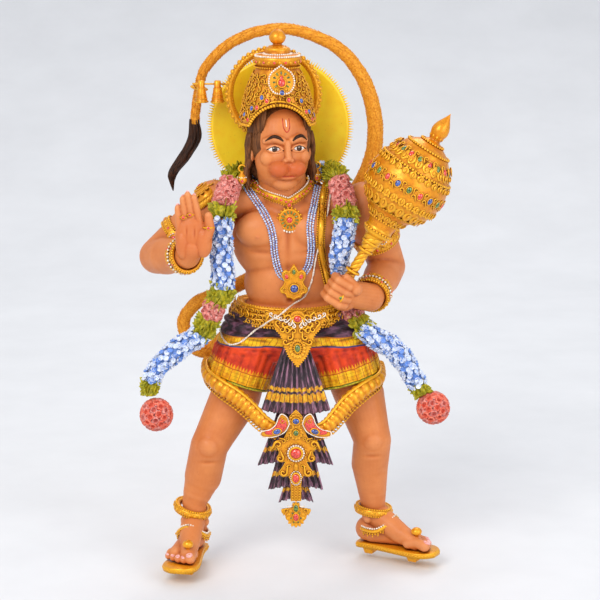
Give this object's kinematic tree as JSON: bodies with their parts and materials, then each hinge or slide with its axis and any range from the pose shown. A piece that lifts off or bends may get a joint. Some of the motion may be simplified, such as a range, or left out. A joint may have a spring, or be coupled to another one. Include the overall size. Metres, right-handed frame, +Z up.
{
  "type": "hindu deity statue",
  "caption": "Standing monkey-deity figurine with raised palm, mace, tall crown, halo, garland, arched tail and toe-peg sandals",
  "frame": {"origin": "on the ground under the middle of the figure's bounding box", "axes": "+Z up, the figure faces -Y, its own right hand is at -X"},
  "size_m": [0.1548, 0.0723, 0.2693],
  "materials": {
    "painted_skin": "satin paint over cast resin",
    "gilt": "gold paint over cast resin, with enamel gems",
    "steel": "plain drawn rod",
    "painted_hair": "matt paint over cast resin",
    "painted_fur": "matt paint over cast resin",
    "painted_halo": "satin paint over pressed sheet",
    "painted_cloth": "painted cloth modelled in resin",
    "glass_bead": "moulded beads",
    "painted_thread": "off-white paint",
    "painted_flower": "painted petals modelled in resin",
    "painted_rose": "painted petals modelled in resin"
  },
  "bodies": {
    "figure": {"bead_necklace": "glass_bead", "bell_collar": "gilt", "belt": "gilt", "chest_pendant": "gilt", "collar": "gilt", "drawers": "painted_cloth", "front_pleats": "painted_cloth", "garland": "painted_flower", "hair": "painted_hair", "halo_bracket": "steel", "halo_disc": "painted_halo", "head": "painted_skin", "left_ankle_chain": "gilt", "left_anklet": "gilt", "left_arm": "painted_skin", "left_armlet": "gilt", "left_bangle": "gilt", "left_epaulette": "gilt", "left_garland_ball": "painted_rose", "left_hand": "painted_skin", "left_leg": "painted_skin", "left_leg_rod": "steel", "left_sandal": "gilt", "left_sandal_screw": "steel", "left_thigh_sash": "gilt", "medallion": "gilt", "neck_dowel": "steel", "right_ankle_chain": "gilt", "right_anklet": "gilt", "right_arm": "painted_skin", "right_armlet": "gilt", "right_bangle": "gilt", "right_epaulette": "gilt", "right_garland_ball": "painted_rose", "right_hand": "painted_skin", "right_leg": "painted_skin", "right_leg_rod": "steel", "right_sandal": "gilt", "right_sandal_screw": "steel", "right_thigh_sash": "gilt", "sacred_thread": "painted_thread", "shoulder_sash": "gilt", "tail": "painted_fur", "tail_tuft": "painted_hair", "trunk": "painted_skin", "waist_dowel": "steel"},
    "crown": {"crown_cap": "gilt", "crown_arch": "gilt", "crown_crest": "gilt"},
    "mace": {"mace_shaft": "gilt", "mace_head": "gilt"},
    "right_bell": {"right_bell": "gilt"},
    "left_bell": {"left_bell": "gilt"},
    "right_clapper": {"right_clapper": "gilt"},
    "left_clapper": {"left_clapper": "gilt"},
    "right_earring": {"right_earring": "gilt"},
    "left_earring": {"left_earring": "gilt"},
    "front_jewel": {"front_jewel": "gilt"},
    "drop_jewel": {"drop_jewel": "gilt"}
  },
  "joints": [
    {"name": "crown_lift", "type": "slide", "parent": "figure", "child": "crown", "axis": [0, 0, 1], "range_m": [0, 0.05]},
    {"name": "mace_draw", "type": "slide", "parent": "figure", "child": "mace", "axis": [0.5195, 0, 0.8545], "range_m": [0, 0.045]},
    {"name": "right_bell_swing", "type": "hinge", "parent": "figure", "child": "right_bell", "pos_m": [-0.0468, 0.018, 0.24], "axis": [1, 0, 0], "range_deg": [-30, 30]},
    {"name": "left_bell_swing", "type": "hinge", "parent": "figure", "child": "left_bell", "pos_m": [-0.0388, 0.018, 0.24], "axis": [1, 0, 0], "range_deg": [-30, 30]},
    {"name": "right_clapper_swing", "type": "hinge", "parent": "right_bell", "child": "right_clapper", "pos_m": [-0.0468, 0.018, 0.236], "axis": [1, 0, 0], "range_deg": [-12, 12]},
    {"name": "left_clapper_swing", "type": "hinge", "parent": "left_bell", "child": "left_clapper", "pos_m": [-0.0388, 0.018, 0.236], "axis": [1, 0, 0], "range_deg": [-12, 12]},
    {"name": "right_earring_swing", "type": "hinge", "parent": "figure", "child": "right_earring", "pos_m": [-0.02635, -0.00092, 0.2019], "axis": [1, 0, 0], "range_deg": [-25, 5]},
    {"name": "left_earring_swing", "type": "hinge", "parent": "figure", "child": "left_earring", "pos_m": [0.01035, 0.00892, 0.2019], "axis": [1, 0, 0], "range_deg": [-25, 5]},
    {"name": "front_jewel_swing", "type": "hinge", "parent": "figure", "child": "front_jewel", "pos_m": [0, -0.025, 0.0838], "axis": [1, 0, 0], "range_deg": [-25, 0]},
    {"name": "drop_jewel_swing", "type": "hinge", "parent": "front_jewel", "child": "drop_jewel", "pos_m": [0, -0.025, 0.0382], "axis": [1, 0, 0], "range_deg": [-20, 10]}
  ]
}
